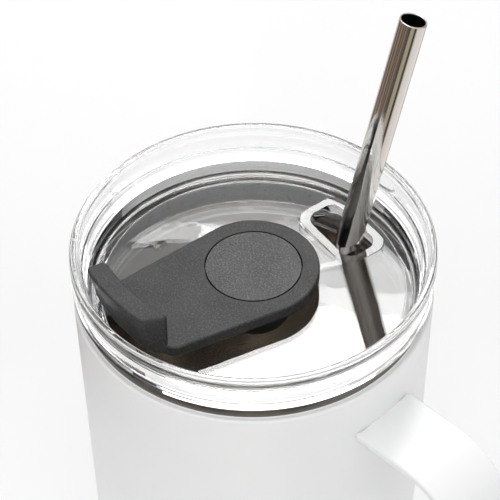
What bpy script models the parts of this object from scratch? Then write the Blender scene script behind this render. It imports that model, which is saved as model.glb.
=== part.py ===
"""Insulated steel mug with a strap handle, a clear lid with a turning closure, and a steel straw.

Frame: origin at the centre of the base, +Z up, +X towards the handle. Sizes are in millimetres and
are scaled to metres when a mesh is made.
"""
from math import atan, cos, degrees, pi, radians, sin, tan

import bmesh
import bpy
from mathutils import Matrix, Vector

MM = 0.001
GAP = 0.3                      # clearance between pieces that touch
TURN_STEPS = 48                # facets around a large turned piece
SMALL_STEPS = 24               # facets around a small turned piece

# Mug
BODY_RADIUS = 49.95            # at the shoulder
BODY_TAPER = radians(0.5)
SHOULDER_Z = 128.6             # where the painted body ends below the lid's flange
LIP_Z = 132.2                  # top of the steel lip
NECK_RADIUS = 48.4
SHELL_WALL = 0.8
BASE_CORNER = 4.0
FOOT_INNER_RADIUS = 41.5
LINER_MOUTH_RADIUS = 46.8
LINER_BASE_RADIUS = 45.4
LINER_WALL = 0.5
LINER_FLOOR_Z = 9.0
LINER_CORNER = 6.0

# Base: a plate inside the foot with a raised dimple, its seal, and a flush cover below
PLATE_THICKNESS = 0.8
PLATE_RADIUS = 43.8
DIMPLE_RISE = 2.2
DIMPLE_TOP_RADIUS = 5.6
DIMPLE_FOOT_RADIUS = 8.2
VENT_RADIUS = 1.2              # evacuation hole in the dimple
SEAL_RADIUS = 4.4
SEAL_THICKNESS = 1.3
GETTER_RADIUS = 4.0
GETTER_THICKNESS = 2.0
GETTER_X = -22.0

# Handle: a strap in the XZ plane
HANDLE_WIDTH = 21.5
HANDLE_THICKNESS = 2.4
HANDLE_TOP_Z = 114.0           # top face of the upper arm
HANDLE_HEIGHT = 86.0
HANDLE_REACH = 86.0            # outermost face, from the mug's axis
HANDLE_BEND = 18.0
HANDLE_EDGE_FLAT = 0.15        # half the flat that is left between the strap's rounded edges

# Lid: heights are measured down from the rim
RIM_Z = 144.2
LID_RADIUS = 50.0
RIM_LIP = 2.0
RIM_BAND = 2.7                 # height of the thicker band at the rim
WAIST_INSET = 0.5              # the outside steps in between the rim band and the seat
WAIST_DEPTH = 9.2              # lower end of the shallow waist round the flange
SEAT_DEPTH = 11.7              # underside of the flange, which rests over the steel lip
SEAT_CHAMFER = 1.1
PLUG_RADIUS = 46.2
RECESS_RADIUS = 44.9           # recess wall where it meets the floor's fillet
FLOOR_DEPTH = 15.0
FLOOR_THICKNESS = 2.2
PLUG_DEPTH = 30.6
PLUG_BORE = 42.5
GROOVE_TOP = 18.4
GROOVE_BOTTOM = 27.0
GROOVE_RADIUS = 44.8
FIN_SPACING = 2.45             # gasket fins

# Sip opening: a rounded rectangle across the direction SIP_TURN
SIP_TURN = radians(81.4)
SIP_RADIUS = 31.7              # from the axis to the opening's centre
SIP_SIDE = 0.8                 # offset of the centre across that direction
SIP_LENGTH = 10.8              # along the direction
SIP_WIDTH = 20.0               # across it
SIP_CORNER = 3.6
FRAME_DEPTH = 13.1             # top of the raised frame
FRAME_WALL = 2.0
FRAME_CHAMFER = 0.6

# Closure
ARM_TURN = radians(256.9)
ARM_TOP = 8.7
ARM_THICKNESS = 4.1
ARM_END_RADIUS = 18.3
ARM_TIP_HALF_WIDTH = 14.8
ARM_TIP_REACH = 35.0
TAB_TOP = -2.1                 # stands above the rim
TAB_LEAN = 3.0
TAB_CENTRE = (-17.5, -8.7)     # centre of the tab's curve
TAB_OUTER = 61.6
TAB_INNER = 55.6
TAB_START = -5.6               # degrees
TAB_OUTER_END = 18.2
TAB_INNER_END = 23.8
CAP_RADIUS = 13.3
CAP_THICKNESS = 1.6
HUB_RADIUS = 10.4
HUB_NECK_RADIUS = 4.4
HUB_BOTTOM = 26.7
NECK_LENGTH = 3.4              # of the hub's neck, through the floor and a little below
SCREW_RADIUS = 1.8
SCREW_HEAD_RADIUS = 3.4
SCREW_HEAD_HEIGHT = 1.2
WELL_DEPTH = 2.4               # well for the screw head, under the cap
WASHER_THICKNESS = 0.5
SEAL_RING_THICKNESS = 1.0
NUT_BAND = 1.2                 # countersink under the hub
PAD_LENGTH = 12.0
PAD_WIDTH = 22.0
PAD_THICKNESS = 1.5
PAD_REACH = 30.3
PAD_PROUD = 0.1                # the pad stands this far below the arm

# Straw
STRAW_RADIUS = 3.73
STRAW_WALL = 0.45
STRAW_SLOPE = (0.211, 0.12)    # run in x and y for each unit of rise, in the lid's own directions
STRAW_TURN = radians(45.4)     # from the lid's own directions to the frame
STRAW_ENTRY = (27.4, 15.6)     # where its axis crosses STRAW_ENTRY_DEPTH
STRAW_ENTRY_DEPTH = 12.7
STRAW_ABOVE_RIM = 57.0
STRAW_BOTTOM_Z = 14.0


def lid_z(depth):
    """Height of a level that lies depth below the rim."""
    return RIM_Z - depth


def clear_scene():
    for item in list(bpy.data.objects):
        bpy.data.objects.remove(item, do_unlink=True)


def make_material(name, colour, roughness, metallic=0.0, alpha=1.0, transmission=0.0):
    material = bpy.data.materials.new(name)
    material.use_nodes = True
    shader = material.node_tree.nodes["Principled BSDF"]
    shader.inputs["Base Color"].default_value = (*colour, 1.0)
    shader.inputs["Roughness"].default_value = roughness
    shader.inputs["Metallic"].default_value = metallic
    shader.inputs["Alpha"].default_value = alpha
    shader.inputs["Transmission Weight"].default_value = transmission
    material.diffuse_color = (*colour, alpha)
    return material


def mesh_object(name, mesh_data, material, smooth_angle=35.0):
    """Turn a bmesh in millimetres into an object in metres, with its faces pointing out."""
    bmesh.ops.remove_doubles(mesh_data, verts=mesh_data.verts, dist=0.0005)
    bmesh.ops.recalc_face_normals(mesh_data, faces=mesh_data.faces)
    bmesh.ops.scale(mesh_data, vec=(MM, MM, MM), verts=mesh_data.verts)
    mesh = bpy.data.meshes.new(name)
    mesh_data.to_mesh(mesh)
    mesh_data.free()
    mesh.materials.append(material)
    mesh.shade_smooth()
    mesh.set_sharp_from_angle(angle=radians(smooth_angle))
    made = bpy.data.objects.new(name, mesh)
    bpy.context.scene.collection.objects.link(made)
    return made


def turned(name, profile, material, steps=TURN_STEPS):
    """Spin a closed (radius, height) outline about the Z axis."""
    shape = bmesh.new()
    rows = []
    for radius, height in profile:
        if radius < 1e-6:
            rows.append([shape.verts.new((0.0, 0.0, height))])
            continue
        ring = []
        for step in range(steps):
            angle = 2.0 * pi * step / steps
            ring.append(shape.verts.new((radius * cos(angle), radius * sin(angle), height)))
        rows.append(ring)
    for row, below in zip(rows, rows[1:] + rows[:1]):
        if len(row) == 1 and len(below) == 1:
            continue
        for step in range(steps):
            following = (step + 1) % steps
            corners = [row[step % len(row)], row[following % len(row)],
                       below[following % len(below)], below[step % len(below)]]
            shape.faces.new(list(dict.fromkeys(corners)))
    return mesh_object(name, shape, material)


def extruded(name, outline, low, high, material, top_outline=None):
    """A prism from an (x, y) outline, or a loft to a second outline of as many points."""
    shape = bmesh.new()
    floor = [shape.verts.new((x, y, low)) for x, y in outline]
    roof = [shape.verts.new((x, y, high)) for x, y in (top_outline or outline)]
    shape.faces.new(floor)
    shape.faces.new(roof)
    count = len(floor)
    for index in range(count):
        following = (index + 1) % count
        shape.faces.new((floor[index], floor[following], roof[following], roof[index]))
    return mesh_object(name, shape, material)


def arc(centre, radius, start, end, steps):
    """Points along an arc, angles in degrees."""
    points = []
    for step in range(steps + 1):
        angle = radians(start + (end - start) * step / steps)
        points.append((centre[0] + radius * cos(angle), centre[1] + radius * sin(angle)))
    return points


def rounded_rectangle(length, width, corner, steps=5):
    """Outline centred on the origin, length along x and width along y."""
    points = []
    for quarter, (side_x, side_y) in enumerate(((1, 1), (-1, 1), (-1, -1), (1, -1))):
        centre = (side_x * (length / 2 - corner), side_y * (width / 2 - corner))
        points += arc(centre, corner, 90 * quarter, 90 * quarter + 90, steps)
    return points


def placed(outline, turn, reach=0.0, side=0.0):
    """Move an outline outwards by reach and across by side, then turn it about the axis."""
    return [((x + reach) * cos(turn) - (y + side) * sin(turn),
             (x + reach) * sin(turn) + (y + side) * cos(turn)) for x, y in outline]


def combine(target, tool, operation):
    """Apply a Boolean and drop the tool."""
    step = target.modifiers.new(operation.lower(), "BOOLEAN")
    step.object = tool
    step.operation = operation
    step.solver = "EXACT"
    bpy.context.view_layer.update()
    evaluated = target.evaluated_get(bpy.context.evaluated_depsgraph_get())
    result = bpy.data.meshes.new_from_object(evaluated)
    target.modifiers.remove(step)
    old = target.data
    target.data = result
    result.name = target.name
    bpy.data.meshes.remove(old)
    bpy.data.objects.remove(tool, do_unlink=True)
    result.shade_smooth()
    result.set_sharp_from_angle(angle=radians(35.0))


def set_origin(piece, point):
    """Move a piece's origin to point, in millimetres, and leave its mesh where it is."""
    place = Vector(point) * MM
    piece.data.transform(Matrix.Translation(-place))
    piece.location = place


# ---- Mug ----------------------------------------------------------------------------------------

def body_radius(height, inset=0.0):
    """Outer radius of the tapered body at a height, less an inset."""
    return BODY_RADIUS - (SHOULDER_Z - height) * tan(BODY_TAPER) - inset


def make_outer_shell(paint):
    corner = (body_radius(BASE_CORNER) - BASE_CORNER, BASE_CORNER)
    inner_corner = BASE_CORNER - SHELL_WALL
    outside = [(NECK_RADIUS, LIP_Z - 1.0),
               (NECK_RADIUS, SHOULDER_Z + 0.5),
               (NECK_RADIUS + 0.3, SHOULDER_Z),
               (BODY_RADIUS - 0.6, SHOULDER_Z),
               (body_radius(SHOULDER_Z - 0.7), SHOULDER_Z - 0.7)]
    outside += arc(corner, BASE_CORNER, 0, -90, 4)
    inside = [(FOOT_INNER_RADIUS, 0.0), (FOOT_INNER_RADIUS, SHELL_WALL)]
    inside += arc(corner, inner_corner, -90, 0, 3)
    inside += [(body_radius(SHOULDER_Z - 2.0, SHELL_WALL), SHOULDER_Z - 2.0),
               (NECK_RADIUS - SHELL_WALL, SHOULDER_Z - 0.6),
               (NECK_RADIUS - SHELL_WALL, LIP_Z - 1.0)]
    return turned("outer_shell", outside + inside, paint)


def liner_radius(height):
    """Inner radius of the liner's tapered wall."""
    span = (height - LINER_FLOOR_Z) / (LIP_Z - LINER_FLOOR_Z)
    return LINER_BASE_RADIUS + (LINER_MOUTH_RADIUS - LINER_BASE_RADIUS) * span


def make_inner_liner(steel):
    corner_z = LINER_FLOOR_Z + LINER_CORNER
    corner = (liner_radius(corner_z) - LINER_CORNER, corner_z)
    inside = [(0.0, LINER_FLOOR_Z)]
    inside += arc(corner, LINER_CORNER, -90, 0, 4)
    inside += [(LINER_MOUTH_RADIUS, LIP_Z - 0.6),
               (LINER_MOUTH_RADIUS + 0.4, LIP_Z),
               (NECK_RADIUS - 0.4, LIP_Z),
               (NECK_RADIUS, LIP_Z - 0.3),
               (NECK_RADIUS, LIP_Z - 0.7)]
    outside = [(LINER_MOUTH_RADIUS + LINER_WALL, LIP_Z - 0.7)]
    outside += arc(corner, LINER_CORNER + LINER_WALL, 0, -90, 4)
    outside += [(0.0, LINER_FLOOR_Z - LINER_WALL)]
    return turned("inner_liner", inside + outside, steel)


def make_base_plate(steel):
    """Disc inside the shell's foot, with a raised dimple around the evacuation hole."""
    low = SHELL_WALL + GAP
    high = low + PLATE_THICKNESS
    profile = [(VENT_RADIUS, low + DIMPLE_RISE), (VENT_RADIUS, high + DIMPLE_RISE),
               (DIMPLE_TOP_RADIUS, high + DIMPLE_RISE), (DIMPLE_FOOT_RADIUS, high),
               (PLATE_RADIUS, high), (PLATE_RADIUS, low), (DIMPLE_FOOT_RADIUS - 0.4, low),
               (DIMPLE_TOP_RADIUS - 0.4, low + DIMPLE_RISE)]
    return turned("base_plate", profile, steel)


def make_base_cover(steel):
    """Disc let into the foot ring, flush with it, which hides the vacuum seal."""
    edge = FOOT_INNER_RADIUS - GAP
    profile = [(0.0, 0.0), (0.0, SHELL_WALL), (edge, SHELL_WALL), (edge, 0.0)]
    return turned("base_cover", profile, steel)


def make_vacuum_seal(metal):
    """Bead that fills the dimple from below."""
    top = SHELL_WALL + DIMPLE_RISE
    profile = [(0.0, top), (SEAL_RADIUS - 0.8, top), (SEAL_RADIUS, top - 0.5),
               (SEAL_RADIUS - 1.0, top - 1.1), (0.0, top - SEAL_THICKNESS)]
    return turned("vacuum_seal", profile, metal, SMALL_STEPS)


def make_getter(metal):
    """Pellet that lies on the base plate inside the vacuum space."""
    low = SHELL_WALL + GAP + PLATE_THICKNESS + GAP
    high = low + GETTER_THICKNESS
    piece = turned("getter", [(0.0, low), (GETTER_RADIUS, low), (GETTER_RADIUS, high), (0.0, high)],
                   metal, SMALL_STEPS)
    piece.data.transform(Matrix.Translation(Vector((GETTER_X, 0.0, 0.0)) * MM))
    return piece


def handle_centre_line():
    """(x, z) points down the middle of the strap, from the upper weld to the lower one."""
    half = HANDLE_THICKNESS / 2
    high = HANDLE_TOP_Z - half
    low = HANDLE_TOP_Z - HANDLE_HEIGHT + half
    far = HANDLE_REACH - half
    bend = HANDLE_BEND - half
    points = [(body_radius(high) + GAP, high)]
    points += arc((far - bend, high - bend), bend, 90, 0, 8)
    points += arc((far - bend, low + bend), bend, 0, -90, 8)
    points += [(body_radius(low) + GAP, low)]
    return points


def strap_stations(steps=2, inner=5):
    """(across, half thickness) stations over the strap's width, with rounded edges."""
    edge = HANDLE_THICKNESS / 2 - HANDLE_EDGE_FLAT
    side = HANDLE_WIDTH / 2 - edge
    left = arc((-side, HANDLE_EDGE_FLAT), edge, 180, 90, steps)
    middle = [(-side + 2 * side * step / (inner + 1), HANDLE_THICKNESS / 2)
              for step in range(1, inner + 1)]
    right = [(-across, half) for across, half in reversed(left)]
    return left + middle + right


def make_handle(paint):
    """Sweep the strap's section along its centre line, and fit its ends to the round body."""
    line = handle_centre_line()
    stations = strap_stations()
    section = stations + [(across, -half) for across, half in reversed(stations)]
    shape = bmesh.new()
    rings = []
    last = len(line) - 1
    for index, (x, z) in enumerate(line):
        ahead = Vector(line[min(index + 1, last)])
        behind = Vector(line[max(index - 1, 0)])
        along = (ahead - behind).normalized()
        outward = Vector((-along.y, along.x))
        ring = []
        for across, out in section:
            spot = Vector((x, z)) + outward * out
            if index in (0, last):
                reach = body_radius(spot.y) + GAP
                spot.x = (reach * reach - across * across) ** 0.5
            ring.append(shape.verts.new((spot.x, across, spot.y)))
        rings.append(ring)
    count = len(section)
    for ring, following in zip(rings, rings[1:]):
        for index in range(count):
            after = (index + 1) % count
            shape.faces.new((ring[index], ring[after], following[after], following[index]))
    for ring in (rings[0], rings[-1]):
        for index in range(len(stations) - 1):
            opposite = count - 1 - index
            shape.faces.new((ring[index], ring[index + 1], ring[opposite - 1], ring[opposite]))
    return mesh_object("handle_strap", shape, paint)


# ---- Lid ----------------------------------------------------------------------------------------

def lid_profile():
    """Outline of the clear moulding, without the sip opening."""
    rim_inner = LID_RADIUS - RIM_LIP
    floor = lid_z(FLOOR_DEPTH)
    underside = lid_z(FLOOR_DEPTH + FLOOR_THICKNESS)
    outside = [(rim_inner + 0.6, lid_z(0.0)),
               (LID_RADIUS - 0.6, lid_z(0.0)),
               (LID_RADIUS, lid_z(0.7)),
               (LID_RADIUS, lid_z(RIM_BAND)),
               (LID_RADIUS - WAIST_INSET, lid_z(RIM_BAND + 0.6)),
               (LID_RADIUS - WAIST_INSET, lid_z(WAIST_DEPTH - 0.6)),
               (LID_RADIUS, lid_z(WAIST_DEPTH)),
               (LID_RADIUS, lid_z(SEAT_DEPTH - SEAT_CHAMFER)),
               (LID_RADIUS - SEAT_CHAMFER, lid_z(SEAT_DEPTH)),
               (PLUG_RADIUS, lid_z(SEAT_DEPTH)),
               (PLUG_RADIUS, lid_z(GROOVE_TOP)),
               (GROOVE_RADIUS, lid_z(GROOVE_TOP)),
               (GROOVE_RADIUS, lid_z(GROOVE_BOTTOM)),
               (PLUG_RADIUS, lid_z(GROOVE_BOTTOM)),
               (PLUG_RADIUS, lid_z(GROOVE_BOTTOM + 1.4)),
               (GROOVE_RADIUS, lid_z(PLUG_DEPTH))]
    inside = [(PLUG_BORE - 0.2, lid_z(PLUG_DEPTH)),
              (PLUG_BORE, underside),
              (HUB_NECK_RADIUS + GAP, underside),
              (HUB_NECK_RADIUS + GAP, floor),
              (RECESS_RADIUS - 1.6, floor),
              (RECESS_RADIUS - 0.6, lid_z(FLOOR_DEPTH - 0.45)),
              (RECESS_RADIUS - 0.1, lid_z(FLOOR_DEPTH - 1.4)),
              (rim_inner, lid_z(0.6))]
    return outside + inside


def make_lid(clear):
    lid = turned("lid_body", lid_profile(), clear)
    outer = placed(rounded_rectangle(SIP_LENGTH + 2 * FRAME_WALL, SIP_WIDTH + 2 * FRAME_WALL,
                                     SIP_CORNER + 1.0), SIP_TURN, SIP_RADIUS, SIP_SIDE)
    crest = placed(rounded_rectangle(SIP_LENGTH + 2 * (FRAME_WALL - FRAME_CHAMFER),
                                     SIP_WIDTH + 2 * (FRAME_WALL - FRAME_CHAMFER),
                                     SIP_CORNER + 0.4), SIP_TURN, SIP_RADIUS, SIP_SIDE)
    frame = extruded("sip_frame", outer, lid_z(FLOOR_DEPTH + 1.1), lid_z(FRAME_DEPTH), clear, crest)
    combine(lid, frame, "UNION")
    hole = placed(rounded_rectangle(SIP_LENGTH, SIP_WIDTH, SIP_CORNER),
                  SIP_TURN, SIP_RADIUS, SIP_SIDE)
    cutter = extruded("sip_cutter", hole, lid_z(FLOOR_DEPTH + FLOOR_THICKNESS + 3.0),
                      lid_z(FRAME_DEPTH - 3.0), clear)
    combine(lid, cutter, "DIFFERENCE")
    return lid


def make_gasket(silicone):
    """Ring in the plug's groove with three fins that press on the liner."""
    inner = GROOVE_RADIUS + GAP
    band = PLUG_RADIUS - 0.3
    tip = LINER_MOUTH_RADIUS - GAP - 0.15
    top = GROOVE_TOP + GAP
    bottom = GROOVE_BOTTOM - GAP
    profile = [(inner, lid_z(bottom)), (inner, lid_z(top)), (band, lid_z(top))]
    for fin in range(3):
        middle = top + 1.5 + FIN_SPACING * fin
        profile += [(band, lid_z(middle - 0.7)), (tip, lid_z(middle)), (band, lid_z(middle + 0.7))]
    profile += [(band, lid_z(bottom))]
    return turned("lid_gasket", profile, silicone)


# ---- Closure, in directions where x runs along the arm --------------------------------------------

def arm_outline():
    """Round end about the axis, straight sides, and an outer end that follows the tab."""
    slope = (ARM_END_RADIUS - ARM_TIP_HALF_WIDTH) / ARM_TIP_REACH
    tangent = 90.0 - degrees(atan(slope))
    points = arc((0.0, 0.0), ARM_END_RADIUS, tangent, 360 - tangent, 28)
    points += [(ARM_TIP_REACH, -ARM_TIP_HALF_WIDTH)]
    points += arc(TAB_CENTRE, TAB_OUTER - TAB_LEAN - 1.0, TAB_START, TAB_OUTER_END, 8)
    points += [(ARM_TIP_REACH - 1.0, ARM_TIP_HALF_WIDTH)]
    return points


def tab_outline(lean):
    """Plan of the thumb tab; lean draws its outer wall in towards the arm."""
    outer = arc(TAB_CENTRE, TAB_OUTER, TAB_START, TAB_OUTER_END, 10)
    inner = arc(TAB_CENTRE, TAB_INNER, TAB_INNER_END, TAB_START + 0.3, 10)
    return [(x - lean, y) for x, y in outer] + inner


def bevelled(piece, width, segments, angle=40.0):
    """Round a piece's edges and apply the modifier."""
    step = piece.modifiers.new("bevel", "BEVEL")
    step.width = width * MM
    step.segments = segments
    step.limit_method = "ANGLE"
    step.angle_limit = radians(angle)
    step.use_clamp_overlap = True
    bpy.context.view_layer.update()
    evaluated = piece.evaluated_get(bpy.context.evaluated_depsgraph_get())
    result = bpy.data.meshes.new_from_object(evaluated)
    piece.modifiers.remove(step)
    old = piece.data
    piece.data = result
    result.name = piece.name
    bpy.data.meshes.remove(old)


def make_arm(black):
    low = lid_z(ARM_TOP + ARM_THICKNESS)
    high = lid_z(ARM_TOP)
    arm = extruded("closure_arm", placed(arm_outline(), ARM_TURN), low, high, black)
    bevelled(arm, 0.6, 2)
    tab = extruded("tab", placed(tab_outline(TAB_LEAN), ARM_TURN), low + 0.9, lid_z(TAB_TOP),
                   black, placed(tab_outline(0.0), ARM_TURN))
    bevelled(tab, 0.9, 2)
    combine(arm, tab, "UNION")
    seat = turned("seat", [(0.0, high + 2.0), (CAP_RADIUS + GAP, high + 2.0),
                           (CAP_RADIUS + GAP, high - CAP_THICKNESS - GAP),
                           (0.0, high - CAP_THICKNESS - GAP)], black, 48)
    combine(arm, seat, "DIFFERENCE")
    boss_low = lid_z(FLOOR_DEPTH - GAP)
    neck_low = lid_z(FLOOR_DEPTH + NECK_LENGTH)
    boss = turned("boss", [(0.0, low + 1.0), (HUB_RADIUS, low + 1.0), (HUB_RADIUS, boss_low + 0.3),
                           (HUB_RADIUS - 0.3, boss_low), (HUB_NECK_RADIUS, boss_low),
                           (HUB_NECK_RADIUS, neck_low), (0.0, neck_low)], black, SMALL_STEPS)
    combine(arm, boss, "UNION")
    bore = turned("bore", [(0.0, high + 2.0), (SCREW_RADIUS + GAP, high + 2.0),
                           (SCREW_RADIUS + GAP, neck_low - 2.0), (0.0, neck_low - 2.0)],
                  black, SMALL_STEPS)
    combine(arm, bore, "DIFFERENCE")
    well_radius = SCREW_HEAD_RADIUS + 0.8
    well = turned("well", [(0.0, high), (well_radius, high), (well_radius, screw_seat()),
                           (0.0, screw_seat())], black, SMALL_STEPS)
    combine(arm, well, "DIFFERENCE")
    pocket = placed(rounded_rectangle(PAD_LENGTH + 2 * GAP, PAD_WIDTH + 2 * GAP, 3.0),
                    ARM_TURN, PAD_REACH)
    cutter = extruded("pocket", pocket, low - 2.0, low + PAD_THICKNESS + GAP - PAD_PROUD, black)
    combine(arm, cutter, "DIFFERENCE")
    return arm


def make_pad(silicone):
    low = lid_z(ARM_TOP + ARM_THICKNESS) - PAD_PROUD
    outline = placed(rounded_rectangle(PAD_LENGTH, PAD_WIDTH, 2.7), ARM_TURN, PAD_REACH)
    return extruded("closure_pad", outline, low, low + PAD_THICKNESS, silicone)


def make_cap(black):
    high = lid_z(ARM_TOP)
    low = high - CAP_THICKNESS
    profile = [(0.0, high), (CAP_RADIUS - 0.35, high), (CAP_RADIUS, high - 0.3),
               (CAP_RADIUS, low), (0.0, low)]
    return turned("pivot_cap", profile, black, 48)


def screw_seat():
    """Height of the floor of the well that holds the screw head."""
    return lid_z(ARM_TOP) - CAP_THICKNESS - GAP - WELL_DEPTH


def make_screw(steel):
    seat = screw_seat() + GAP + WASHER_THICKNESS + GAP
    crown = seat + SCREW_HEAD_HEIGHT
    tip = lid_z(HUB_BOTTOM - 2.0)
    profile = [(0.0, crown), (SCREW_HEAD_RADIUS - 0.6, crown),
               (SCREW_HEAD_RADIUS, crown - 0.5), (SCREW_HEAD_RADIUS, seat),
               (SCREW_RADIUS, seat), (SCREW_RADIUS, tip + 1.0), (SCREW_RADIUS - 0.8, tip),
               (0.0, tip)]
    return turned("pivot_screw", profile, steel, SMALL_STEPS)


def make_washer(steel):
    low = screw_seat() + GAP
    high = low + WASHER_THICKNESS
    inner = SCREW_RADIUS + GAP
    outer = SCREW_HEAD_RADIUS + 0.4
    profile = [(inner, low), (inner, high), (outer, high), (outer, low)]
    return turned("pivot_washer", profile, steel, SMALL_STEPS)


def make_hub_seal(silicone):
    high = lid_z(FLOOR_DEPTH + FLOOR_THICKNESS + GAP)
    low = high - SEAL_RING_THICKNESS
    inner = HUB_NECK_RADIUS + GAP
    outer = HUB_RADIUS - 1.2
    profile = [(inner, low), (inner, high), (outer - 0.3, high), (outer, high - 0.5),
               (outer - 0.3, low)]
    return turned("hub_seal", profile, silicone, SMALL_STEPS)


def make_hub_nut(black):
    """Hub below the floor, bored for the screw and countersunk underneath."""
    high = lid_z(FLOOR_DEPTH + FLOOR_THICKNESS + GAP + SEAL_RING_THICKNESS + GAP)
    low = lid_z(HUB_BOTTOM)
    bore = SCREW_RADIUS + GAP
    sink = bore + 2.0
    profile = [(bore, low + NUT_BAND), (bore, high), (HUB_RADIUS - 0.4, high),
               (HUB_RADIUS, high - 0.4), (HUB_RADIUS, low + 0.4), (HUB_RADIUS - 0.4, low),
               (sink, low), (sink, low + NUT_BAND)]
    return turned("hub_nut", profile, black, SMALL_STEPS)


# ---- Straw --------------------------------------------------------------------------------------

def straw_axis():
    """Unit direction of the straw, and the point where it crosses the sip opening."""
    run_x, run_y = STRAW_SLOPE
    turn = Matrix.Rotation(STRAW_TURN, 3, "Z")
    direction = turn @ Vector((run_x, run_y, 1.0))
    entry = turn @ Vector((*STRAW_ENTRY, 0.0))
    entry.z = lid_z(STRAW_ENTRY_DEPTH)
    return direction, entry


def make_straw(steel):
    direction, entry = straw_axis()
    low = STRAW_BOTTOM_Z - entry.z
    high = RIM_Z + STRAW_ABOVE_RIM - entry.z
    unit = direction.normalized()
    lengths = (low * direction.length, high * direction.length)
    bore = STRAW_RADIUS - STRAW_WALL
    lip = STRAW_WALL * 0.3
    profile = [(bore, lengths[0] + lip), (bore, lengths[1] - lip), (bore + lip, lengths[1]),
               (STRAW_RADIUS - lip, lengths[1]), (STRAW_RADIUS, lengths[1] - lip),
               (STRAW_RADIUS, lengths[0] + lip), (STRAW_RADIUS - lip, lengths[0]),
               (bore + lip, lengths[0])]
    straw = turned("straw", profile, steel, SMALL_STEPS)
    tilt = Vector((0.0, 0.0, 1.0)).rotation_difference(unit).to_matrix().to_4x4()
    straw.data.transform(tilt)
    straw.location = entry * MM
    return straw


def joint_empty(name, point):
    """Empty that stands on a joint's axis and carries the pieces that move on it."""
    empty = bpy.data.objects.new(name, None)
    empty.location = Vector(point) * MM
    empty.empty_display_size = 0.02
    bpy.context.scene.collection.objects.link(empty)
    return empty


def hold(parent, pieces):
    """Parent pieces to an empty without moving them."""
    bpy.context.view_layer.update()
    for piece in pieces:
        piece.parent = parent
        piece.matrix_parent_inverse = parent.matrix_world.inverted()


def main():
    clear_scene()
    paint = make_material("white_paint", (0.86, 0.86, 0.86), 0.35)
    steel = make_material("brushed_steel", (0.55, 0.54, 0.52), 0.28, metallic=1.0)
    bright = make_material("polished_steel", (0.62, 0.6, 0.57), 0.08, metallic=1.0)
    solder = make_material("seal_metal", (0.42, 0.42, 0.43), 0.45, metallic=1.0)
    clear = make_material("clear_plastic", (0.96, 0.97, 0.97), 0.03, alpha=0.3)
    silicone = make_material("clear_silicone", (0.86, 0.87, 0.87), 0.4, alpha=0.6)
    black = make_material("black_plastic", (0.035, 0.035, 0.036), 0.55)
    rubber = make_material("black_silicone", (0.03, 0.03, 0.03), 0.7)

    make_outer_shell(paint)
    make_inner_liner(steel)
    make_base_plate(steel)
    make_base_cover(steel)
    make_vacuum_seal(solder)
    make_getter(solder)
    make_handle(paint)

    lid_lift = joint_empty("lid_lift_axis", (0.0, 0.0, lid_z(SEAT_DEPTH)))
    closure_axis = joint_empty("closure_axis", (0.0, 0.0, lid_z(ARM_TOP)))
    lid = make_lid(clear)
    gasket = make_gasket(silicone)
    closure = [make_arm(black), make_cap(black), make_screw(bright), make_washer(bright),
               make_hub_seal(rubber), make_hub_nut(black), make_pad(rubber)]
    straw = make_straw(bright)
    for piece in closure:
        set_origin(piece, (0.0, 0.0, lid_z(ARM_TOP)))
    hold(closure_axis, closure)
    hold(lid_lift, [lid, gasket, closure_axis, straw])


main()
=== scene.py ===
"""Looks of the insulated mug: powder-coated steel, a clear moulded lid, a textured black closure
and a polished straw, with a white studio around them. Sizes here are millimetres unless a name
or comment says otherwise; lid levels are depths below the rim.
"""

from math import atan, cos, pi, radians, sin, sqrt, tan

import bmesh
import bpy
from mathutils import Matrix, Vector


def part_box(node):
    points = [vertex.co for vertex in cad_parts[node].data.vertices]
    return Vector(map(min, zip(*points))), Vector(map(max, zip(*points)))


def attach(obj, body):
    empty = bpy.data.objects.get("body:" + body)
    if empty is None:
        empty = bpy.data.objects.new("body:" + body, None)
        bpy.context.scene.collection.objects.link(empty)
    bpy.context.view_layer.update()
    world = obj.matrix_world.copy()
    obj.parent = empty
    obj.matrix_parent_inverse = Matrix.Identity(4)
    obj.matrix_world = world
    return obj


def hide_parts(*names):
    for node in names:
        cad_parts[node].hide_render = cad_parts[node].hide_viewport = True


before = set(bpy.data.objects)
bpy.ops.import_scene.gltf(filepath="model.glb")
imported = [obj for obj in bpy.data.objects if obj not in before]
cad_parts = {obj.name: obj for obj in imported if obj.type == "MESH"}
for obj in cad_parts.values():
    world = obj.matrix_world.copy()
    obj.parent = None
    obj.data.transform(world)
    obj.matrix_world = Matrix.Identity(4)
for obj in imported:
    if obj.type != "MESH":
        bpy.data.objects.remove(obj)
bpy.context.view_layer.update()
MM = 0.001
MERGE_DISTANCE = 0.0004
TINY = 1e-6
FILLET_SHARE = 0.48            # of a side that the fillet at its end may take
NEARLY_STRAIGHT = pi - 0.02    # radians; corners more open than this aren't rounded
MOULDED_STEPS = 5              # facets across a moulded piece's rounded edge
SHARP_ANGLE = 35.0             # degrees between faces, above which an edge is drawn sharp
LID_SHARP_ANGLE = 30.0


def corners(node):
    """Lowest and highest corner of a node's CAD solid, in millimetres."""
    low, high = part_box(node)
    return low / MM, high / MM


RIM_Z = corners("lid_body")[1].z
LID_RADIUS = corners("lid_body")[1].x


# ---- Mesh helpers ---------------------------------------------------------------------------------

def z_at(depth):
    """Height of a level that lies depth below the rim."""
    return RIM_Z - depth


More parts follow.
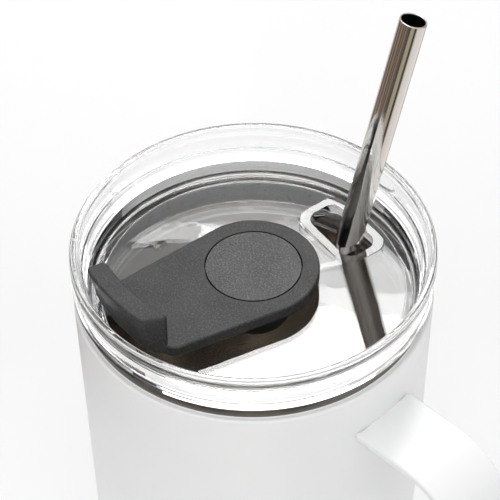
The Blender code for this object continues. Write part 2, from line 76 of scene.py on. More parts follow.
def mesh_object(name, shape, material, sharp=SHARP_ANGLE):
    """Object in metres from a bmesh in millimetres, smooth shaded up to the sharp angle."""
    bmesh.ops.remove_doubles(shape, verts=shape.verts, dist=MERGE_DISTANCE)
    bmesh.ops.recalc_face_normals(shape, faces=shape.faces)
    bmesh.ops.scale(shape, vec=(MM, MM, MM), verts=shape.verts)
    mesh = bpy.data.meshes.new(name)
    shape.to_mesh(mesh)
    shape.free()
    mesh.materials.append(material)
    mesh.shade_smooth()
    mesh.set_sharp_from_angle(angle=radians(sharp))
    made = bpy.data.objects.new(name, mesh)
    bpy.context.scene.collection.objects.link(made)
    return made


def filleted(points, segments=4):
    """Closed outline of (a, b, fillet radius) points with each corner rounded by its radius."""
    result = []
    count = len(points)
    for index, (a, b, radius) in enumerate(points):
        here = Vector((a, b))
        before = Vector(points[index - 1][:2]) - here
        after = Vector(points[(index + 1) % count][:2]) - here
        if radius <= 0 or before.length < TINY or after.length < TINY:
            result.append((a, b))
            continue
        angle = before.angle(after)
        if angle > NEARLY_STRAIGHT:
            result.append((a, b))
            continue
        reach = min(radius / tan(angle / 2), before.length * FILLET_SHARE, after.length * FILLET_SHARE)
        radius = reach * tan(angle / 2)
        centre = here + (before.normalized() + after.normalized()).normalized() * (radius / sin(angle / 2))
        start = here + before.normalized() * reach - centre
        end = here + after.normalized() * reach - centre
        for step in range(segments + 1):
            share = step / segments
            spot = start.lerp(end, share)
            spot = spot.normalized() * radius
            result.append((centre.x + spot.x, centre.y + spot.y))
    return result


def circle(shape, radius, height, steps):
    """Ring of new vertices about the Z axis."""
    angles = [2 * pi * step / steps for step in range(steps)]
    return [shape.verts.new((radius * cos(angle), radius * sin(angle), height)) for angle in angles]


def turned(name, profile, material, steps=192, sharp=SHARP_ANGLE):
    """Spin a closed (radius, height) outline about the Z axis."""
    shape = bmesh.new()
    rows = []
    for radius, height in profile:
        if radius < TINY:
            rows.append([shape.verts.new((0.0, 0.0, height))])
            continue
        rows.append(circle(shape, radius, height, steps))
    for row, below in zip(rows, rows[1:] + rows[:1]):
        if len(row) == 1 and len(below) == 1:
            continue
        for step in range(steps):
            following = (step + 1) % steps
            around = [row[step % len(row)], row[following % len(row)],
                      below[following % len(below)], below[step % len(below)]]
            shape.faces.new(list(dict.fromkeys(around)))
    return mesh_object(name, shape, material, sharp)


def lofted(name, outlines, material):
    """Skin through outlines of (x, y, z) points, each with as many points, and cap both ends."""
    shape = bmesh.new()
    rings = [[shape.verts.new(point) for point in outline] for outline in outlines]
    count = len(rings[0])
    for ring, following in zip(rings, rings[1:]):
        for index in range(count):
            after = (index + 1) % count
            shape.faces.new((ring[index], ring[after], following[after], following[index]))
    shape.faces.new(rings[0])
    shape.faces.new(rings[-1])
    return mesh_object(name, shape, material)


def shrunk(outline, inset):
    """Closed anticlockwise outline moved inwards by inset."""
    result = []
    for index, (x, y) in enumerate(outline):
        here = Vector((x, y))
        before = (here - Vector(outline[index - 1])).normalized()
        after = (Vector(outline[(index + 1) % len(outline)]) - here).normalized()
        inward = Vector((-before.y - after.y, before.x + after.x))
        inward *= 2.0 * inset / inward.length_squared
        result.append((x + inward.x, y + inward.y))
    return result


def moulded(name, low_outline, high_outline, low, high, low_round, high_round, material, turn):
    """Loft between two outlines whose bottom and top edges are rounded."""
    angles = [pi / 2 * step / MOULDED_STEPS for step in range(MOULDED_STEPS + 1)]
    levels = [(low_round * (1.0 - sin(angle)), low + low_round * (1.0 - cos(angle))) for angle in angles]
    levels += [(high_round * (1.0 - cos(angle)), high - high_round * (1.0 - sin(angle)))
               for angle in angles]
    rings = []
    for inset, height in levels:
        share = (height - low) / (high - low)
        mixed = [(ax + (bx - ax) * share, ay + (by - ay) * share)
                 for (ax, ay), (bx, by) in zip(low_outline, high_outline)]
        rings.append(flat(placed(shrunk(mixed, inset), turn), height))
    return lofted(name, rings, material)


def flat(outline, height):
    """Plan outline lifted to one height."""
    return [(x, y, height) for x, y in outline]


def arc(centre, radius, start, end, steps):
    """Points along a circle, with its angles in degrees."""
    return [(centre[0] + radius * cos(radians(start + (end - start) * step / steps)),
             centre[1] + radius * sin(radians(start + (end - start) * step / steps)))
            for step in range(steps + 1)]


def rounded_rectangle(length, width, corner, steps=8):
    points = []
    for quarter, (side_x, side_y) in enumerate(((1, 1), (-1, 1), (-1, -1), (1, -1))):
        centre = (side_x * (length / 2 - corner), side_y * (width / 2 - corner))
        points += arc(centre, corner, 90 * quarter, 90 * quarter + 90, steps)
    return points


def placed(outline, turn, reach=0.0, side=0.0):
    """Outline moved outwards and sideways, then turned about the mug's axis."""
    return [((x + reach) * cos(turn) - (y + side) * sin(turn),
             (x + reach) * sin(turn) + (y + side) * cos(turn)) for x, y in outline]


def apply_modifiers(piece):
    """Put what a piece's modifiers make into its mesh."""
    bpy.context.view_layer.update()
    evaluated = piece.evaluated_get(bpy.context.evaluated_depsgraph_get())
    result = bpy.data.meshes.new_from_object(evaluated)
    old = piece.data
    piece.modifiers.clear()
    piece.data = result
    result.name = piece.name
    bpy.data.meshes.remove(old)


def combine(target, tool, operation, sharp=SHARP_ANGLE):
    """Boolean of the target with a tool piece, which is used up."""
    step = target.modifiers.new(operation.lower(), "BOOLEAN")
    step.object = tool
    step.operation = operation
    step.solver = "EXACT"
    apply_modifiers(target)
    target.data.shade_smooth()
    target.data.set_sharp_from_angle(angle=radians(sharp))
    bpy.data.objects.remove(tool, do_unlink=True)


def flat_faced(piece):
    """Weight normals by face area, so large flat faces stay flat beside small fillets."""
    step = piece.modifiers.new("normals", "WEIGHTED_NORMAL")
    step.weight = 100
    step.keep_sharp = True
    apply_modifiers(piece)
    return piece


# ---- Materials ------------------------------------------------------------------------------------

def set_stops(ramp, stops):
    """Give a colour ramp its (position, colour) stops."""
    elements = ramp.color_ramp.elements
    while len(elements) < len(stops):
        elements.new(0.5)
    for element, (position, colour) in zip(elements, stops):
        element.position = position
        element.color = (*colour, 1.0)


class Shade:
    """A Principled material whose sockets are fed by procedural nodes in object space."""

    def __init__(self, name, sockets):
        self.material = bpy.data.materials.new(name)
        self.material.use_nodes = True
        self.tree = self.material.node_tree
        self.shader = self.tree.nodes["Principled BSDF"]
        for socket, value in sockets.items():
            self.shader.inputs[socket].default_value = value
        self.place = self.tree.nodes.new("ShaderNodeTexCoord").outputs["Object"]

    def node(self, kind, settings=None, **inputs):
        """inputs are sockets by name, or by number as i0, i1 and so on."""
        made = self.tree.nodes.new(kind)
        for key, value in (settings or {}).items():
            setattr(made, key, value)
        for key, value in inputs.items():
            numbered = key[0] == "i" and key[1:].isdigit()
            socket = made.inputs[int(key[1:]) if numbered else key]
            if isinstance(value, bpy.types.NodeSocket):
                self.tree.links.new(value, socket)
            else:
                socket.default_value = value
        return made

    def stretched(self, scale):
        return self.node("ShaderNodeMapping", Vector=self.place, Scale=scale).outputs["Vector"]

    def noise(self, scale, detail=2.0, rough=0.5, vector=None, distortion=0.0):
        made = self.node("ShaderNodeTexNoise", Vector=vector or self.place, Scale=scale,
                         Detail=detail, Roughness=rough, Distortion=distortion)
        return made.outputs["Fac"]

    def ramp(self, factor, *stops):
        """stops are (position, colour or grey level)."""
        made = self.node("ShaderNodeValToRGB", Fac=factor)
        set_stops(made, [(position, (colour,) * 3 if isinstance(colour, (int, float)) else colour)
                         for position, colour in stops])
        return made.outputs["Color"]

    def spread(self, factor, low, high, start=0.0, end=1.0):
        """Map start..end to low..high, and hold the ends."""
        made = self.node("ShaderNodeMapRange", Value=factor)
        for socket, value in (("From Min", start), ("From Max", end), ("To Min", low), ("To Max", high)):
            made.inputs[socket].default_value = value
        return made.outputs["Result"]

    def maths(self, operation, first, second=0.0):
        return self.node("ShaderNodeMath", {"operation": operation}, i0=first, i1=second).outputs[0]

    def mix(self, factor, first, second):
        """Blend of two colours."""
        made = self.node("ShaderNodeMix", {"data_type": "RGBA"}, i0=factor, i6=first, i7=second)
        return made.outputs[2]

    def radius(self, parts):
        """Distance from the piece's own Z axis."""
        across = self.node("ShaderNodeCombineXYZ", X=parts.outputs["X"], Y=parts.outputs["Y"]).outputs[0]
        return self.node("ShaderNodeVectorMath", {"operation": "LENGTH"}, i0=across).outputs["Value"]

    def bump(self, height, strength, distance_mm, normal=None):
        made = self.node("ShaderNodeBump", Height=height, Strength=strength, Distance=distance_mm * MM)
        if normal is not None:
            self.tree.links.new(normal, made.inputs["Normal"])
        return made.outputs["Normal"]

    def feed(self, socket, value):
        self.tree.links.new(value, self.shader.inputs[socket])


def per_mm(size_mm):
    """Texture scale whose features are size_mm across."""
    return 1.0 / (size_mm * MM)


def powder_coat():
    """Baked white powder: fine orange peel over a slow waviness."""
    made = Shade("powder_coat", {"IOR": 1.5, "Specular IOR Level": 0.5, "Coat Weight": 0.15,
                                 "Coat Roughness": 0.25})
    broad = made.noise(per_mm(30.0), 2.0)
    fine = made.noise(per_mm(0.9), 3.0, 0.6)
    made.feed("Base Color", made.ramp(broad, (0.3, (0.80, 0.805, 0.81)), (0.7, (0.83, 0.83, 0.83))))
    made.feed("Roughness", made.spread(made.noise(per_mm(4.0), 3.0), 0.34, 0.46, 0.3, 0.7))
    made.feed("Normal", made.bump(fine, 0.12, 0.12, made.bump(made.noise(per_mm(5.0), 1.0), 0.08, 0.5)))
    return made.material


SATIN_AND_PAINTED_LIGHT_LOW_Z = 121.0            # the liner's mouth is blasted to a rougher satin and painted nearly white with a faint glow, painted light which fades in between these heights
SATIN_AND_PAINTED_LIGHT_HIGH_Z = 123.0           # which fades in between these heights


def brushed_steel():
    """Drawn and brushed around the axis: streaks follow each ring.

    The mouth is a rougher satin, painted nearly white and given a faint glow: painted light for the light
    that the clear plug gathers on it.
    """
    made = Shade("brushed_steel", {"Emission Color": (1.0, 1.0, 1.0, 1.0)})
    ring = made.node("ShaderNodeSeparateXYZ", Vector=made.place)
    across = made.maths("MULTIPLY", made.radius(ring), per_mm(0.5))
    upwards = made.maths("MULTIPLY", ring.outputs["Z"], per_mm(0.5))
    along = made.node("ShaderNodeCombineXYZ", X=across, Y=upwards).outputs[0]
    streak = made.noise(1.0, 3.0, 0.7, along)
    # painted light: the mouth is painted nearly white, less metallic and glowing, as well as rougher
    mouth = made.spread(ring.outputs["Z"], 0.0, 1.0, SATIN_AND_PAINTED_LIGHT_LOW_Z * MM, SATIN_AND_PAINTED_LIGHT_HIGH_Z * MM)
    # painted shade: below the mouth the steel is painted darker and browner than bare steel, for the dim
    # inside of the mug
    shaded_steel_tone = made.ramp(made.noise(per_mm(18.0), 3.0), (0.3, (0.455, 0.42, 0.38)),
                     (0.7, (0.52, 0.48, 0.435)))
    made.feed("Base Color", made.mix(mouth, shaded_steel_tone, (0.93, 0.93, 0.93, 1.0)))
    made.feed("Metallic", made.maths("SUBTRACT", 1.0, made.maths("MULTIPLY", mouth, 0.7)))
    # painted glow on the mouth, for the light that the clear plug gathers on it
    glow = made.spread(made.noise(1.0, 2.0, 0.6, along), 0.10, 0.40, 0.35, 0.65)
    made.feed("Emission Strength", made.maths("MULTIPLY", mouth, glow))
    made.feed("Roughness", made.maths("ADD", made.spread(streak, 0.18, 0.26, 0.3, 0.7),
                                      made.maths("MULTIPLY", mouth, 0.35)))
    made.feed("Normal", made.bump(streak, 0.03, 0.02))
    return made.material


def dark_steel():
    """Bare neck painted dark and dull: painted shade for the neck in the shaded gap under the lid's skirt.
    """
    made = Shade("dark_steel", {"Metallic": 1.0})
    # painted shade: a dark base colour on the neck's steel
    made.feed("Base Color", made.ramp(made.noise(per_mm(6.0), 3.0), (0.3, (0.17, 0.16, 0.147)),
                                      (0.7, (0.215, 0.205, 0.19))))
    made.feed("Roughness", made.spread(made.noise(per_mm(1.5), 3.0), 0.28, 0.4, 0.3, 0.7))
    made.feed("Normal", made.bump(made.noise(per_mm(0.8), 2.0), 0.08, 0.04))
    return made.material


def polished_steel():
    """Drawn tube and screw heads: nearly a mirror, with faint smears and specks."""
    made = Shade("polished_steel", {"Metallic": 1.0, "Anisotropic": 0.3})
    speck = made.noise(per_mm(0.45), 3.0, 0.7)
    smear = made.noise(per_mm(6.0), 3.0, 0.6, made.stretched((1.0, 1.0, 0.25)))
    made.feed("Base Color", made.ramp(smear, (0.3, (0.66, 0.635, 0.605)), (0.7, (0.74, 0.715, 0.69))))
    made.feed("Roughness", made.spread(smear, 0.05, 0.16, 0.35, 0.7))
    made.feed("Normal", made.bump(speck, 0.10, 0.04))
    return made.material


def clear_plastic():
    """Clear moulding with a slight waviness and patches of fine haze."""
    made = Shade("clear_plastic", {"Base Color": (0.985, 0.99, 0.99, 1.0), "Transmission Weight": 1.0,
                                   "IOR": 1.54, "Specular IOR Level": 0.5})
    scuff = made.noise(per_mm(7.0), 5.0, 0.7, distortion=0.6)
    made.feed("Roughness", made.spread(scuff, 0.0, 0.05, 0.55, 0.8))
    made.feed("Normal", made.bump(made.noise(per_mm(9.0), 2.0), 0.05, 0.3))
    return made.material


def clear_silicone():
    """Milky, soft seal."""
    made = Shade("clear_silicone", {"Transmission Weight": 0.2, "IOR": 1.42})
    made.feed("Base Color", made.ramp(made.noise(per_mm(3.0), 3.0), (0.3, (0.90, 0.91, 0.92)),
                                      (0.7, (0.94, 0.95, 0.96))))
    made.feed("Roughness", made.spread(made.noise(per_mm(1.5), 3.0), 0.25, 0.4, 0.3, 0.7))
    made.feed("Normal", made.bump(made.noise(per_mm(1.0), 2.0), 0.15, 0.08))
    return made.material


def black_plastic():
    """Spark-eroded mould texture: fine grain in relief whose high points are also painted lighter, a
    painted glint, and whose gloss follows the grain, the most on the cap.
    """
    made = Shade("black_plastic", {"IOR": 1.5, "Specular IOR Level": 0.5})
    ring = made.node("ShaderNodeSeparateXYZ", Vector=made.place)
    shine = made.spread(made.radius(ring), -1.0, -0.5, (CAP_RADIUS + 0.1) * MM, (CAP_RADIUS + 0.3) * MM)
    grain = made.noise(per_mm(0.45), 2.0, 0.7)
    patches = made.noise(per_mm(9.0), 3.0, 0.6)
    tone = made.mix(patches, (0.016, 0.016, 0.016, 1.0), (0.026, 0.026, 0.025, 1.0))
    # painted glint: the grain's high points get a lighter base colour
    painted_glints = made.ramp(grain, (0.55, 0.0), (0.8, 1.0))
    made.feed("Base Color", made.mix(painted_glints, tone, (0.09, 0.09, 0.088, 1.0)))
    sparkle = made.maths("MULTIPLY", made.maths("SUBTRACT", grain, 0.5), shine)
    polish = made.maths("MULTIPLY", made.maths("ADD", shine, 0.5), 0.2)
    worn = made.spread(patches, 0.59, 0.54, 0.3, 0.7)
    made.feed("Roughness", made.maths("ADD", made.maths("ADD", sparkle, polish), worn))
    made.feed("Normal", made.bump(grain, 0.8, 0.10))
    return made.material


def black_silicone():
    """Matt rubbery pad."""
    made = Shade("black_silicone", {"IOR": 1.45})
    made.feed("Base Color", made.ramp(made.noise(per_mm(2.0), 3.0), (0.3, (0.015, 0.015, 0.016)),
                                      (0.7, (0.03, 0.03, 0.031))))
    made.feed("Roughness", made.spread(made.noise(per_mm(1.2), 3.0), 0.45, 0.65, 0.3, 0.7))
    made.feed("Normal", made.bump(made.noise(per_mm(0.5), 2.0), 0.2, 0.06))
    return made.material


def dull_metal():
    """Cast seal bead and getter pellet."""
    made = Shade("seal_metal", {"Metallic": 1.0})
    made.feed("Base Color", made.ramp(made.noise(per_mm(2.5), 4.0), (0.3, (0.33, 0.33, 0.34)),
                                      (0.7, (0.48, 0.48, 0.49))))
    made.feed("Roughness", made.spread(made.noise(per_mm(1.0), 4.0), 0.35, 0.6, 0.3, 0.7))
    made.feed("Normal", made.bump(made.noise(per_mm(1.5), 4.0), 0.4, 0.15))
    return made.material


CAP_RADIUS = 13.3              # of the closure's cap, which is glossier and has a stronger grain
PAINT = powder_coat()
STEEL = brushed_steel()
DARK = dark_steel()
BRIGHT = polished_steel()
CLEAR = clear_plastic()
SILICONE = clear_silicone()
BLACK = black_plastic()
RUBBER = black_silicone()
DULL = dull_metal()


def stands_for(piece, body, slot, *nodes):
    """Show a piece in place of the CAD nodes, moving with their body."""
    flat_faced(piece)
    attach(piece, body)
    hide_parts(*nodes)
    return piece


def keeps(material, *nodes):
    """Show CAD nodes as they are, in a procedural material."""
    for node in nodes:
        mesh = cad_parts[node].data
        mesh.materials.clear()
        mesh.materials.append(material)


# ---- Mug ------------------------------------------------------------------------------------------

BODY_RADIUS = 49.95
BODY_TAPER = radians(0.5)
SHOULDER_Z = 128.6
LIP_Z = 132.2
NECK_RADIUS = 48.4
NECK_FOOT_ROUND = 0.8
NECK_SET_IN = 0.05             # the paint is this much proud of the bare neck
NECK_TOP_DROP = 1.0            # from the lip down to the neck's hidden top
SHELL_WALL = 0.8
SHOULDER_ROUND = 0.7
SHOULDER_INNER_DROP = 2.0      # from the shoulder down to the inner face's outer corner
NECK_INNER_DROP = 0.6          # and to its inner corner
BASE_CORNER = 4.0
FOOT_INNER_RADIUS = 41.5
FOOT_ROUND = 0.2
LINER_MOUTH_RADIUS = 46.8
LINER_BASE_RADIUS = 45.4
LINER_WALL = 0.5
LINER_FLOOR_Z = 9.0
LINER_CORNER = 6.0
LIP_INNER_ROUND = 0.5
LIP_OUTER_ROUND = 0.35
LIP_FOLD = 0.7                 # depth of the lip that is turned over the neck
PAINT_EDGE_Z = 128.9           # the powder coat ends on the neck
PAINT_EDGE_ROUND = 0.1


def body_radius(height, inset=0.0):
    """Radius of the painted wall, which tapers towards the foot."""
    return BODY_RADIUS - (SHOULDER_Z - height) * tan(BODY_TAPER) - inset


def make_shell():
    inner_shoulder = SHOULDER_Z - SHOULDER_INNER_DROP
    outline = [(NECK_RADIUS, PAINT_EDGE_Z, PAINT_EDGE_ROUND), (NECK_RADIUS, SHOULDER_Z, NECK_FOOT_ROUND),
               (body_radius(SHOULDER_Z), SHOULDER_Z, SHOULDER_ROUND), (body_radius(0.0), 0.0, BASE_CORNER),
               (FOOT_INNER_RADIUS, 0.0, FOOT_ROUND), (FOOT_INNER_RADIUS, SHELL_WALL, 0.0),
               (body_radius(0.0, SHELL_WALL), SHELL_WALL, BASE_CORNER - SHELL_WALL),
               (body_radius(inner_shoulder, SHELL_WALL), inner_shoulder, 0.0),
               (NECK_RADIUS - SHELL_WALL, SHOULDER_Z - NECK_INNER_DROP, 0.0),
               (NECK_RADIUS - SHELL_WALL, PAINT_EDGE_Z, 0.0)]
    return turned("mug_body", filleted(outline, 6), PAINT)


def make_neck():
    """Bare steel above the edge of the paint."""
    outer, inner = NECK_RADIUS - NECK_SET_IN, NECK_RADIUS - SHELL_WALL
    top = LIP_Z - NECK_TOP_DROP
    outline = [(outer, PAINT_EDGE_Z, 0.0), (outer, top, 0.0), (inner, top, 0.0), (inner, PAINT_EDGE_Z, 0.0)]
    return turned("steel_neck", filleted(outline), DARK)


def make_liner():
    fold = LIP_Z - LIP_FOLD
    outline = [(0.0, LINER_FLOOR_Z, 0.0), (LINER_BASE_RADIUS, LINER_FLOOR_Z, LINER_CORNER),
               (LINER_MOUTH_RADIUS, LIP_Z, LIP_INNER_ROUND), (NECK_RADIUS, LIP_Z, LIP_OUTER_ROUND),
               (NECK_RADIUS, fold, 0.0), (LINER_MOUTH_RADIUS + LINER_WALL, fold, 0.0),
               (LINER_BASE_RADIUS + LINER_WALL, LINER_FLOOR_Z - LINER_WALL, LINER_CORNER),
               (0.0, LINER_FLOOR_Z - LINER_WALL, 0.0)]
    return turned("steel_liner", filleted(outline, 8), STEEL)


HANDLE_WIDTH = 21.5
HANDLE_THICKNESS = 2.4
HANDLE_ROUND = 0.85            # of the strap's edges
HANDLE_TOP_Z = corners("handle_strap")[1].z
HANDLE_BOTTOM_Z = corners("handle_strap")[0].z
HANDLE_REACH = corners("handle_strap")[1].x
HANDLE_BEND = 18.0
BEND_STEPS = 24
ROOT_GAPS = (-0.25, 0.5, 0.7, 2.0)    # distances from the shell's skin of the rings at each root
ROOT_PINCHED = 2               # the first rings are pinched, which leaves a groove for a weld line
ROOT_PINCH = 0.5
ROOT_STRAIGHT = 9.0            # length of each arm that is modelled straight from the shell


def make_handle():
    """Flat strap bent into a D, whose ends follow the round of the shell."""
    half = HANDLE_THICKNESS / 2
    high = HANDLE_TOP_Z - half
    low = HANDLE_BOTTOM_Z + half
    far = HANDLE_REACH - half
    bend = HANDLE_BEND - half
    start = body_radius(high)
    root = [(start + gap, high) for gap in ROOT_GAPS]
    line = root + [(start + ROOT_STRAIGHT, high)]
    line += arc((far - bend, high - bend), bend, 90, 0, BEND_STEPS)
    line += arc((far - bend, low + bend), bend, 0, -90, BEND_STEPS)
    line += [(start + ROOT_STRAIGHT, low)] + [(x, low) for x, _ in reversed(root)]
    section = rounded_rectangle(HANDLE_WIDTH, HANDLE_THICKNESS, HANDLE_ROUND, 4)
    pinched = rounded_rectangle(HANDLE_WIDTH - 2 * ROOT_PINCH, HANDLE_THICKNESS - 2 * ROOT_PINCH,
                                HANDLE_ROUND - ROOT_PINCH, 4)
    rings = []
    last = len(line) - 1
    for index, (x, z) in enumerate(line):
        along = (Vector(line[min(index + 1, last)]) - Vector(line[max(index - 1, 0)])).normalized()
        outward = Vector((-along.y, along.x))
        level = min(index, last - index)
        ring = []
        for across, out in pinched if level < ROOT_PINCHED else section:
            spot = Vector((x, z)) + outward * out
            if level < len(ROOT_GAPS):
                reach = body_radius(spot.y) + ROOT_GAPS[level]
                spot.x = sqrt(reach * reach - across * across)
            ring.append((spot.x, across, spot.y))
        rings.append(ring)
    return lofted("handle_strap_loop", rings, PAINT)


# ---- Lid ------------------------------------------------------------------------------------------

RIM_LIP = 2.0                  # width of the rim's top
RIM_OUTER_ROUND = 0.9
RIM_INNER_ROUND = 0.8
BEAD_DEPTH = 3.1               # lower edge of the bead that runs round the rim
BEAD_ROUND = 0.5
WAIST_INSET = 0.5              # the wall between bead and flange is this much smaller in radius
WAIST_TOP_DEPTH = 3.4
WAIST_DEPTH = 9.2              # upper edge of the flange
SEAT_DEPTH = 11.7              # the flange's lower face, which rests on the mug's lip
SEAT_CHAMFER = 1.1
EDGE = 0.3                     # radius of the moulding's small edges
FINE_EDGE = 0.2
PLUG_RADIUS = 46.2
PLUG_LEAD = 1.4                # height of the plug's full radius below the groove
RECESS_RADIUS = 44.9
RECESS_CORNER = 1.6
FLOOR_DEPTH = 15.0
FLOOR_THICKNESS = 2.2
FLOOR_MARGIN = 2.0             # from the recess corner in to the flat floor
PLUG_DEPTH = 30.6
PLUG_BORE = 42.5
PLUG_BORE_TAPER = 0.2
PLUG_BORE_CORNER = 0.5
HUB_HOLE_ROUND = 0.15
GROOVE_TOP = 18.4              # of the groove that holds the gasket
GROOVE_BOTTOM = 27.0
GROOVE_RADIUS = 44.8
SIP_TURN = radians(81.4)       # from +X to the middle of the sip opening
SIP_RADIUS = 31.7
SIP_SIDE = 0.8
SIP_LENGTH = 10.8
SIP_WIDTH = 20.0
SIP_CORNER = 3.6
FRAME_DEPTH = 14.3             # top of the frame round the sip opening
FRAME_WALL = 2.6
FRAME_CORNER = SIP_CORNER + 1.0
FRAME_SLOPE = radians(3.5)     # of the frame's top
FRAME_RISE = radians(135.4)    # direction in which it rises, from +X
FRAME_RINGS = ((0.0, FLOOR_DEPTH + 1.1), (0.0, FLOOR_DEPTH - 0.1), (0.3, FRAME_DEPTH + 0.1),
               (0.45, FRAME_DEPTH))     # inset and depth of the rings up the frame's outer side
CUTTER_REACH = 3.0             # how far the opening's cutter runs past the lid's faces
HUB_NECK_RADIUS = 4.4
GAP = 0.3                      # clearance between pieces that move or press together


def lid_outline():
    """Half section of the clear lid, from the rim down its outside and back up the recess."""
    floor = z_at(FLOOR_DEPTH)
    underside = z_at(FLOOR_DEPTH + FLOOR_THICKNESS)
    waist = LID_RADIUS - WAIST_INSET
    hole = HUB_NECK_RADIUS + GAP
    return [(LID_RADIUS, RIM_Z, RIM_OUTER_ROUND), (LID_RADIUS, z_at(BEAD_DEPTH), BEAD_ROUND),
            (waist, z_at(WAIST_TOP_DEPTH), EDGE), (waist, z_at(WAIST_DEPTH - WAIST_INSET), EDGE),
            (LID_RADIUS, z_at(WAIST_DEPTH), EDGE), (LID_RADIUS, z_at(SEAT_DEPTH - SEAT_CHAMFER), EDGE),
            (LID_RADIUS - SEAT_CHAMFER, z_at(SEAT_DEPTH), EDGE), (PLUG_RADIUS, z_at(SEAT_DEPTH), EDGE),
            (PLUG_RADIUS, z_at(GROOVE_TOP), FINE_EDGE), (GROOVE_RADIUS, z_at(GROOVE_TOP), FINE_EDGE),
            (GROOVE_RADIUS, z_at(GROOVE_BOTTOM), FINE_EDGE), (PLUG_RADIUS, z_at(GROOVE_BOTTOM), FINE_EDGE),
            (PLUG_RADIUS, z_at(GROOVE_BOTTOM + PLUG_LEAD), EDGE), (GROOVE_RADIUS, z_at(PLUG_DEPTH), EDGE),
            (PLUG_BORE - PLUG_BORE_TAPER, z_at(PLUG_DEPTH), EDGE), (PLUG_BORE, underside, PLUG_BORE_CORNER),
            (hole, underside, 0.0), (hole, floor, HUB_HOLE_ROUND),
            (RECESS_RADIUS - FLOOR_MARGIN, floor, 0.0), (RECESS_RADIUS, floor, RECESS_CORNER),
            (LID_RADIUS - RIM_LIP, RIM_Z, RIM_INNER_ROUND)]


def sip_outline(wall=0.0, corner=SIP_CORNER):
    """Plan of the sip opening, or of the frame a wall's width outside it."""
    ring = rounded_rectangle(SIP_LENGTH + 2 * wall, SIP_WIDTH + 2 * wall, corner)
    return placed(ring, SIP_TURN, SIP_RADIUS, SIP_SIDE)


def make_lid():
    lid = turned("clear_lid", filleted(lid_outline(), 5), CLEAR, 240, LID_SHARP_ANGLE)
    middle_x, middle_y = placed([(0.0, 0.0)], SIP_TURN, SIP_RADIUS, SIP_SIDE)[0]
    rings = []
    for inset, depth in FRAME_RINGS:
        slope = tan(FRAME_SLOPE) if depth < FLOOR_DEPTH else 0.0
        rings.append([(x, y, z_at(depth) + slope * ((y - middle_y) * sin(FRAME_RISE)
                                                    + (x - middle_x) * cos(FRAME_RISE)))
                      for x, y in sip_outline(FRAME_WALL - inset, FRAME_CORNER - inset)])
    combine(lid, lofted("sip_frame", rings, CLEAR), "UNION", LID_SHARP_ANGLE)
    rings = [flat(sip_outline(), z_at(depth))
             for depth in (FLOOR_DEPTH + FLOOR_THICKNESS + CUTTER_REACH, FRAME_DEPTH - CUTTER_REACH)]
    combine(lid, lofted("sip_cutter", rings, CLEAR), "DIFFERENCE", LID_SHARP_ANGLE)
    return lid


FIN_COUNT = 3
FIN_FIRST = 1.5                # from the gasket's top to the middle of the first fin
FIN_PITCH = 2.45
FIN_HALF = 0.7
FIN_ROOT_ROUND = 0.2
FIN_TIP_ROUND = 0.15
FIN_CLEARANCE = 0.15           # beyond the usual gap, between a fin's tip and the liner
GASKET_ROUND = 0.1
GASKET_SET_IN = 0.3


def make_gasket():
    inner = GROOVE_RADIUS + GAP
    band = PLUG_RADIUS - GASKET_SET_IN
    tip = LINER_MOUTH_RADIUS - GAP - FIN_CLEARANCE
    top = GROOVE_TOP + GAP
    bottom = GROOVE_BOTTOM - GAP
    outline = [(inner, z_at(bottom), GASKET_ROUND), (inner, z_at(top), GASKET_ROUND),
               (band, z_at(top), GASKET_ROUND)]
    for fin in range(FIN_COUNT):
        middle = top + FIN_FIRST + FIN_PITCH * fin
        outline += [(band, z_at(middle - FIN_HALF), FIN_ROOT_ROUND), (tip, z_at(middle), FIN_TIP_ROUND),
                    (band, z_at(middle + FIN_HALF), FIN_ROOT_ROUND)]
    outline += [(band, z_at(bottom), GASKET_ROUND)]
    return turned("seal_ring", filleted(outline, 3), SILICONE)


# ---- Closure --------------------------------------------------------------------------------------

ARM_TURN = radians(256.9)      # from +X to the thumb tab
ARM_TOP = 8.7                  # depth of the arm's upper face
ARM_THICKNESS = 4.1
ARM_END_RADIUS = 18.3          # of the round end, about the mug's axis
ARM_TIP_HALF_WIDTH = 14.8
ARM_TIP_REACH = 35.0
ARM_TIP_SKEW = 1.0             # one side of the arm ends this much sooner
ARM_TIP_COVER = 1.0            # from the arm's end out to the tab's outer wall
ARM_LOW_ROUND = 1.1
ARM_HIGH_ROUND = 0.6
ARM_CORNER = 3.0               # where the arm's sides meet the tab
ARM_TIP_CORNER = 1.8
TAB_TOP = -2.1                 # the tab stands above the rim
TAB_LEAN = 3.0                 # the outer wall's foot is drawn in by this much
TAB_FOOT = 0.9                 # from the arm's underside up to the tab's
TAB_LOW_ROUND = 0.3
TAB_HIGH_ROUND = 0.75
TAB_CORNER = 1.7
TAB_CENTRE = (-17.5, -8.7)     # of both walls' arcs, in the arm's own plan
TAB_OUTER = 61.6
TAB_INNER = 55.6
TAB_START = -5.6               # the arcs' ends, in degrees
TAB_START_EASE = 0.3
TAB_OUTER_END = 18.2
TAB_INNER_END = 23.8
TAB_STEPS = 6
CAP_THICKNESS = 1.6
GROOVE_EASE = 0.15             # the groove's inner wall lies this much inside the cap's edge
BOOLEAN_REACH = 1.0            # how far pieces that are joined or cut run past each other
HUB_RADIUS = 10.4
HUB_BOTTOM = 26.7
HUB_NECK_FOOT = 1.2            # the neck's end below the lid's floor
HUB_TOP_GAP = 1.0              # room for the seal above the hub
HUB_TOP_ROUND = 0.4
HUB_FOOT_ROUND = 0.5
HUB_COUNTERBORE = 2.0
HUB_COUNTERBORE_DEPTH = 1.2
SCREW_RADIUS = 1.8
ARM_SLOPE = (ARM_END_RADIUS - ARM_TIP_HALF_WIDTH) / ARM_TIP_REACH


